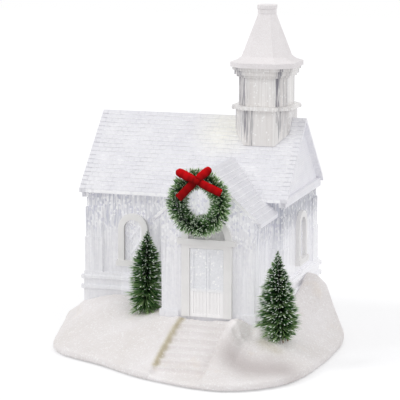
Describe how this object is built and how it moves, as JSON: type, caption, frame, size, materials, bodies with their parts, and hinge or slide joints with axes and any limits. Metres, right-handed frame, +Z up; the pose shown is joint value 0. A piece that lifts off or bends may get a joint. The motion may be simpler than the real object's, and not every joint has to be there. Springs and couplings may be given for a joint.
{
  "type": "led christmas chapel",
  "caption": "Lit table-top winter chapel with a clear glitter-filled body on a snow base, with steeple, wreath and brush trees.",
  "frame": {"origin": "centre of the snow base's bounding box, on the surface that the rubber ring stands on", "axes": "+Z up along the steeple, -Y out of the double door and down the steps, +X along the nave's ridge towards the steeple end"},
  "size_m": [0.236, 0.253, 0.26],
  "materials": {
    "snow_resin": "cast snow with a fine sparkling grain",
    "white_plastic": "moulded white plastic",
    "dark_rubber": "soft matt rubber",
    "dark_plastic": "moulded dark plastic",
    "board_green": "green circuit board",
    "board_white": "white circuit board",
    "plated_steel": "zinc plated",
    "magnet_nickel": "nickel plated magnet",
    "lamp_lens": "clear lens over warm lamps",
    "clear_acrylic": "clear, fluted",
    "frosted_acrylic": "frosted white with soft snow",
    "frame_white": "matt off-white",
    "grey_rubber": "soft rubber",
    "glitter_liquid": "clear liquid with silver glitter",
    "brush_green": "bristles with white flock",
    "red_ribbon": "velvet ribbon",
    "cell_jacket": "printed foil jacket without lettering",
    "lead_red": "insulated wire",
    "lead_black": "insulated wire"
  },
  "bodies": {
    "chapel_body": {"battery_cell_1": "cell_jacket", "battery_cell_2": "cell_jacket", "battery_cell_3": "cell_jacket", "battery_leads": "lead_red", "battery_tray": "dark_plastic", "belfry": "clear_acrylic", "bottom_cover": "white_plastic", "bow": "red_ribbon", "chamber_floor": "clear_acrylic", "chapel_roof": "frosted_acrylic", "chapel_screw_1": "plated_steel", "chapel_screw_2": "plated_steel", "chapel_walls": "clear_acrylic", "contact_1": "plated_steel", "contact_2": "plated_steel", "contact_3": "plated_steel", "contact_4": "plated_steel", "control_board": "board_green", "cover_screw_1": "plated_steel", "cover_screw_2": "plated_steel", "cover_screw_3": "plated_steel", "cover_screw_4": "plated_steel", "door_frame": "frame_white", "double_door": "clear_acrylic", "drive_motor": "plated_steel", "fill_plug": "grey_rubber", "floor_gasket": "grey_rubber", "glitter_fill": "glitter_liquid", "impeller_guard": "white_plastic", "led_board": "board_white", "led_leads": "lead_black", "led_lens": "lamp_lens", "motor_bracket": "plated_steel", "motor_leads": "lead_black", "rubber_ring": "dark_rubber", "snow_base": "snow_resin", "spire_cap": "frosted_acrylic", "steeple_base": "clear_acrylic", "steeple_ledge": "clear_acrylic", "steeple_roof": "frosted_acrylic", "switch_body": "dark_plastic", "switch_leads": "lead_red", "tree_left": "brush_green", "tree_right": "brush_green", "window_frame_back_left": "frame_white", "window_frame_back_right": "frame_white", "window_frame_front": "frame_white", "window_frame_left": "frame_white", "window_frame_right": "frame_white", "wreath": "brush_green", "wreath_peg": "clear_acrylic"},
    "battery_lid": {"battery_door": "white_plastic"},
    "switch_button": {"switch_slider": "dark_plastic"},
    "drive_rotor": {"motor_shaft": "plated_steel", "magnet_carrier": "dark_plastic", "drive_magnet": "magnet_nickel"},
    "impeller_rotor": {"impeller": "white_plastic", "impeller_magnet": "magnet_nickel"}
  },
  "joints": [
    {"name": "battery_lid_hinge", "type": "hinge", "parent": "chapel_body", "child": "battery_lid", "pos_m": [-0.0615, 0.0904, 0.0033], "axis": [1, 0, 0], "range_deg": [0, 90]},
    {"name": "switch_slide", "type": "slide", "parent": "chapel_body", "child": "switch_button", "axis": [1, 0, 0], "range_m": [-0.0025, 0.0025]},
    {"name": "motor_spin", "type": "hinge", "parent": "chapel_body", "child": "drive_rotor", "pos_m": [-0.0059, 0.0575, 0], "axis": [0, 0, 1], "continuous": true},
    {"name": "impeller_spin", "type": "hinge", "parent": "chapel_body", "child": "impeller_rotor", "pos_m": [-0.0059, 0.0575, 0], "axis": [0, 0, 1], "continuous": true}
  ],
  "couplings": [
    {"joint": "impeller_spin", "follows": "motor_spin", "ratio": 1}
  ]
}
